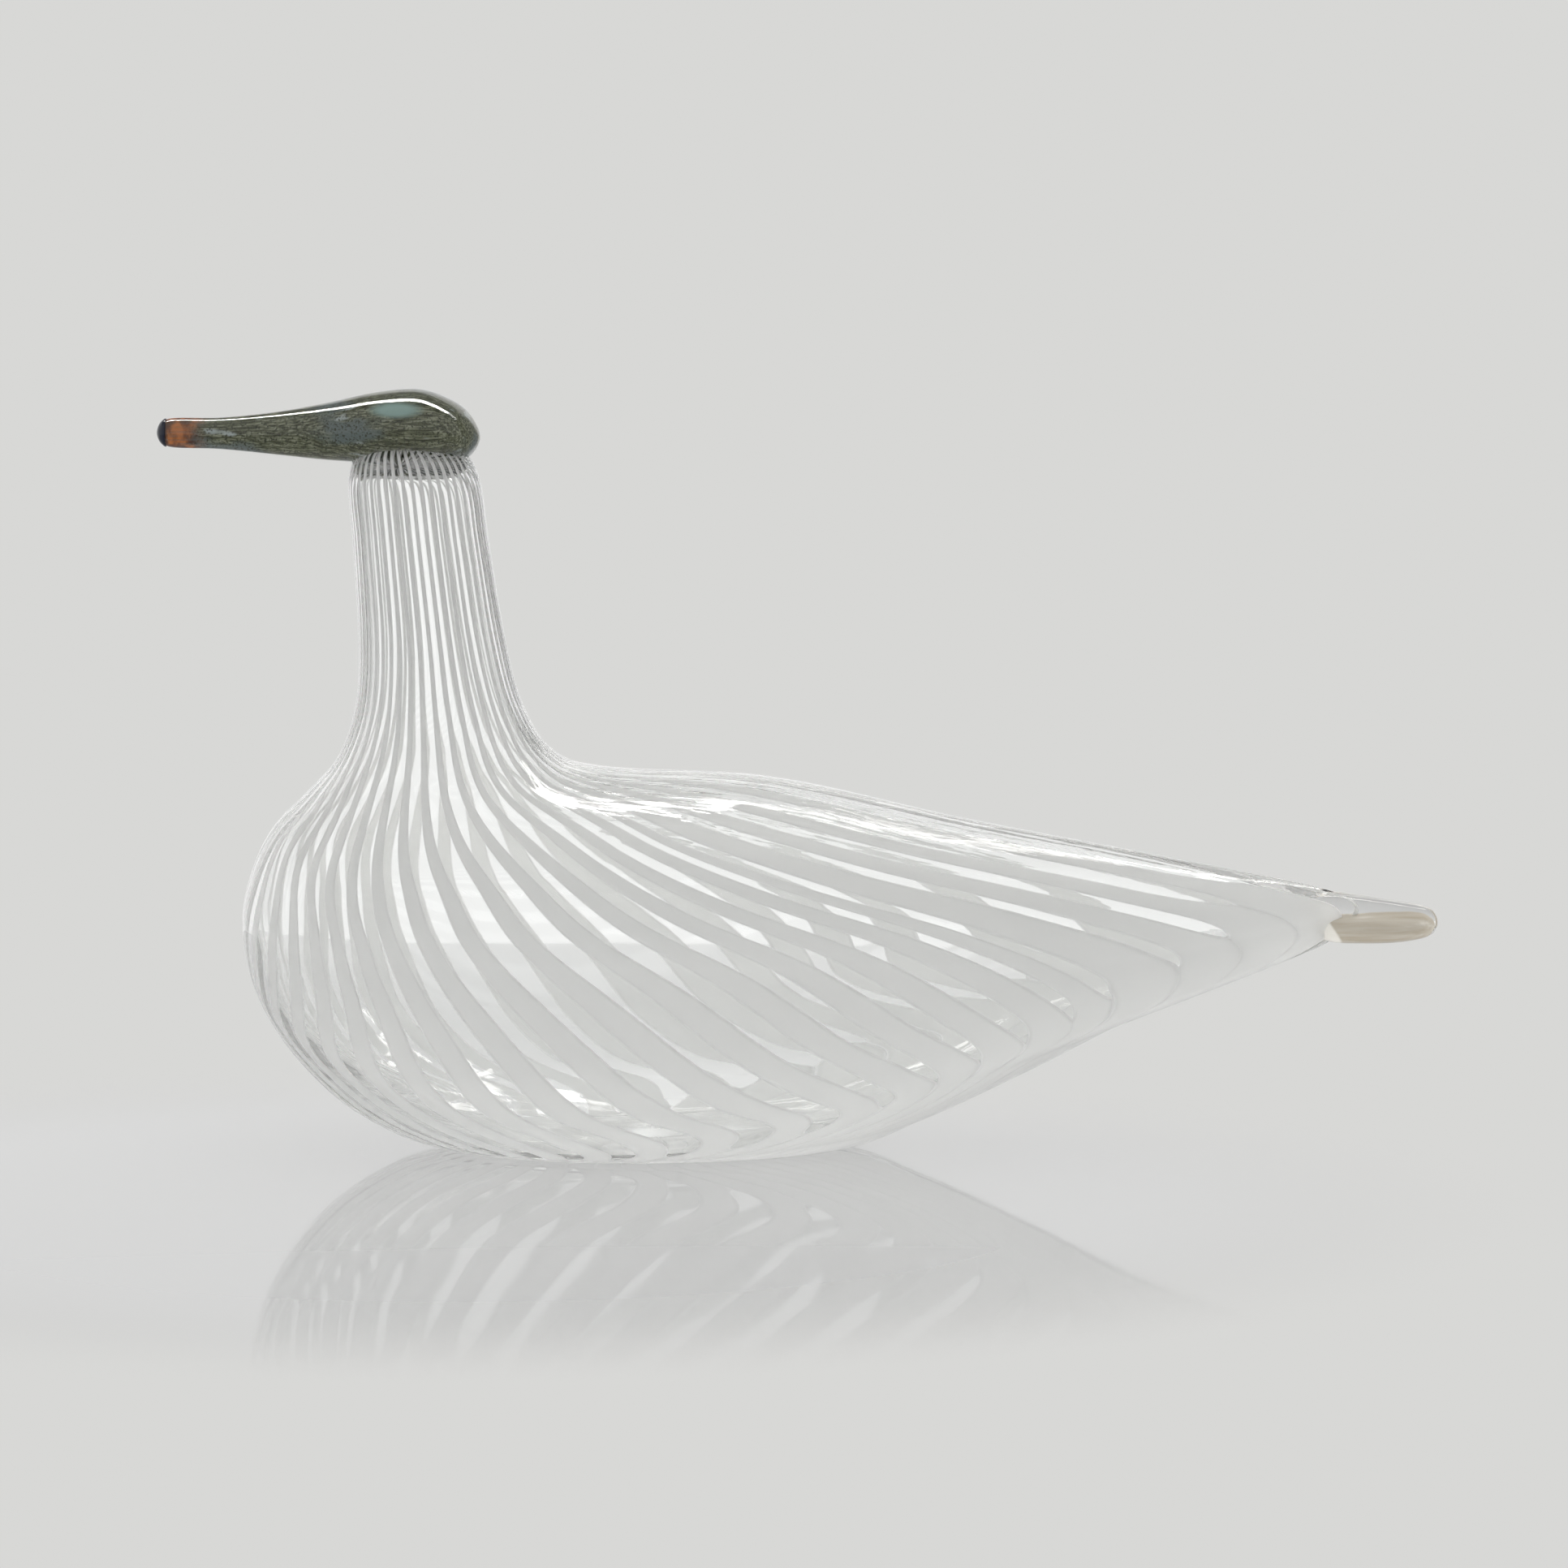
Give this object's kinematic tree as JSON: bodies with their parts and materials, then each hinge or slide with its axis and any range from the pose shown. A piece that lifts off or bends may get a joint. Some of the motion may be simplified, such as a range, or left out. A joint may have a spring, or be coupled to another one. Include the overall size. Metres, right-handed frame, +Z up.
{
  "type": "glass bird figurine",
  "caption": "Blown clear glass bird at rest, white filigree ribbons in its wall, with a long neck, a smoke-grey glass head and beak, a dark beak tip and a solid tail nub.",
  "frame": {"origin": "on the surface the bird rests on, below the middle of its bounding box", "axes": "+Z up, the beak points towards -X and the tail towards +X, +Y across the body"},
  "size_m": [0.293, 0.093, 0.175],
  "materials": {
    "clear_glass": "blown clear glass, fire polished, thin wall with sealed white ribbons",
    "white_glass": "opaque white ribbons sealed inside the clear wall",
    "smoke_glass": "grey-green smoky glass with faint streaks along its length, glossy",
    "dark_glass": "nearly black blue glass, glossy",
    "sand_glass": "clear glass over a sand-coloured core with white streaks, glossy"
  },
  "bodies": {
    "root": {"body": "clear_glass", "head": "smoke_glass", "beak_tip": "dark_glass", "tail_nub": "sand_glass"}
  },
  "joints": []
}
